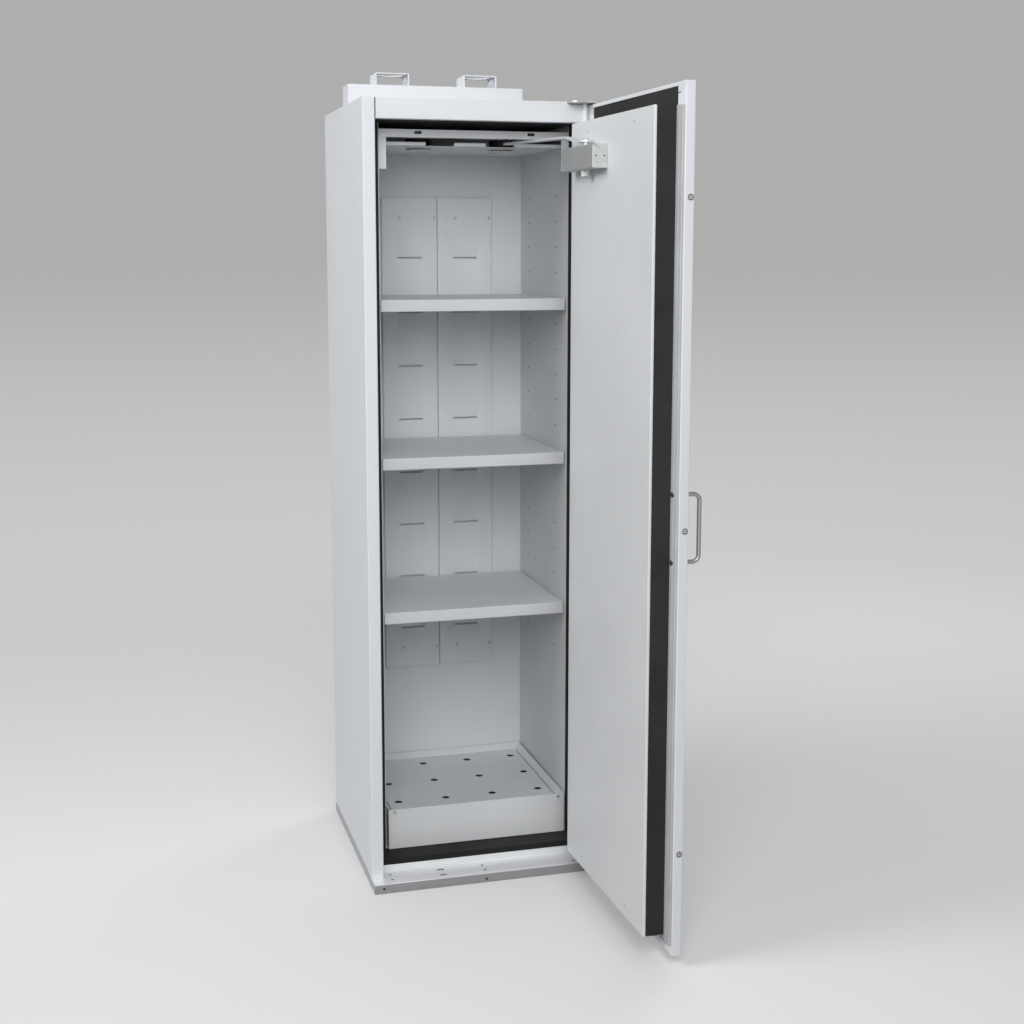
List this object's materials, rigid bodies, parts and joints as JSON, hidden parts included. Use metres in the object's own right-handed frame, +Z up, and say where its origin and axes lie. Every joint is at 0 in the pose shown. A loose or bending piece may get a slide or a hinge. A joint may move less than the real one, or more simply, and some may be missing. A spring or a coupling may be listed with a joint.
{
  "type": "flammable safety cabinet",
  "caption": "Tall fire-resistant cabinet for flammable liquids: thick hinged door with closer, lined shelves, slotted air ducts, collecting tray and exhaust brackets on top.",
  "frame": {"origin": "on the floor under the middle of the cabinet's footprint, at the base tray's underside", "axes": "+X to the right as one faces the door opening, +Y to the back, +Z up"},
  "size_m": [0.6352, 1.158, 2.06],
  "materials": {
    "white_coat": "satin powder coat",
    "inner_coat": "satin powder coat",
    "fire_board": "matt board",
    "sill_steel": "brushed",
    "pivot_steel": "turned",
    "closer_coat": "satin silver paint",
    "seal": "soft matt",
    "black_cap": "matt",
    "valve_plastic": "matt",
    "handle_steel": "brushed",
    "base_coat": "satin powder coat"
  },
  "bodies": {
    "cabinet": {"base_tray": "base_coat", "sill_plate": "sill_steel", "side_panel_left": "white_coat", "side_panel_right": "white_coat", "rear_panel": "white_coat", "top_panel": "white_coat", "front_fascia": "white_coat", "insulation_left": "fire_board", "insulation_right": "fire_board", "insulation_rear": "fire_board", "insulation_floor": "fire_board", "insulation_top": "fire_board", "rebate_left": "fire_board", "rebate_right": "fire_board", "rebate_top": "fire_board", "rebate_bottom": "fire_board", "liner_left": "inner_coat", "liner_right": "inner_coat", "liner_rear": "inner_coat", "liner_floor": "inner_coat", "liner_ceiling": "inner_coat", "duct_cover_left": "inner_coat", "duct_cover_right": "inner_coat", "vent_valve_left": "valve_plastic", "vent_valve_right": "valve_plastic", "plenum_box": "white_coat", "duct_bracket_left": "white_coat", "duct_bracket_right": "white_coat", "ceiling_frame": "inner_coat", "closer_rail": "closer_coat", "shelf_clips": "pivot_steel", "sump_tray": "inner_coat", "upper_hinge_plate": "pivot_steel", "upper_hinge_pin": "pivot_steel", "lower_hinge_pin": "pivot_steel", "hinge_washers": "pivot_steel", "hinge_sleeve": "white_coat"},
    "door": {"door_pan": "white_coat", "door_core": "fire_board", "door_plug": "fire_board", "plug_strip": "fire_board", "door_inner_panel": "inner_coat", "door_seal": "seal", "door_handle": "handle_steel", "handle_bolts": "black_cap", "edge_screws": "white_coat", "hinge_block_upper": "pivot_steel", "hinge_block_lower": "pivot_steel", "closer_body": "closer_coat", "closer_end_plug": "closer_coat", "spindle_cover": "valve_plastic"},
    "closer_arm": {"closer_arm": "closer_coat", "closer_spindle": "pivot_steel", "arm_screw": "pivot_steel"},
    "rail_shoe": {"rail_shoe": "black_cap"},
    "shelf_top": {"shelf_top": "inner_coat"},
    "shelf_middle": {"shelf_middle": "inner_coat"},
    "shelf_bottom": {"shelf_bottom": "inner_coat"},
    "sump_insert": {"sump_insert": "inner_coat"}
  },
  "joints": [
    {"name": "door_swing", "type": "hinge", "parent": "cabinet", "child": "door", "pos_m": [0.2705, -0.289, 0.5], "axis": [0, 0, 1], "range_deg": [-91.2, 0]},
    {"name": "closer_arm_turn", "type": "hinge", "parent": "door", "child": "closer_arm", "pos_m": [0.18911, -0.44774, 1.84], "axis": [0, 0, 1], "range_deg": [0, 151.28]},
    {"name": "shoe_slide", "type": "slide", "parent": "cabinet", "child": "rail_shoe", "axis": [1, 0, 0], "range_m": [-0.28962, 0]},
    {"name": "shelf_top_lift", "type": "slide", "parent": "cabinet", "child": "shelf_top", "axis": [0, 0, 1], "range_m": [0, 0.02]},
    {"name": "shelf_middle_lift", "type": "slide", "parent": "cabinet", "child": "shelf_middle", "axis": [0, 0, 1], "range_m": [0, 0.02]},
    {"name": "shelf_bottom_lift", "type": "slide", "parent": "cabinet", "child": "shelf_bottom", "axis": [0, 0, 1], "range_m": [0, 0.02]},
    {"name": "sump_insert_lift", "type": "slide", "parent": "cabinet", "child": "sump_insert", "axis": [0, 0, 1], "range_m": [0, 0.12]}
  ],
  "couplings": [
    {"joint": "closer_arm_turn", "follows": "door_swing", "ratio": -1.6586},
    {"joint": "shoe_slide", "follows": "door_swing", "m_per_rad": 0.18189}
  ]
}
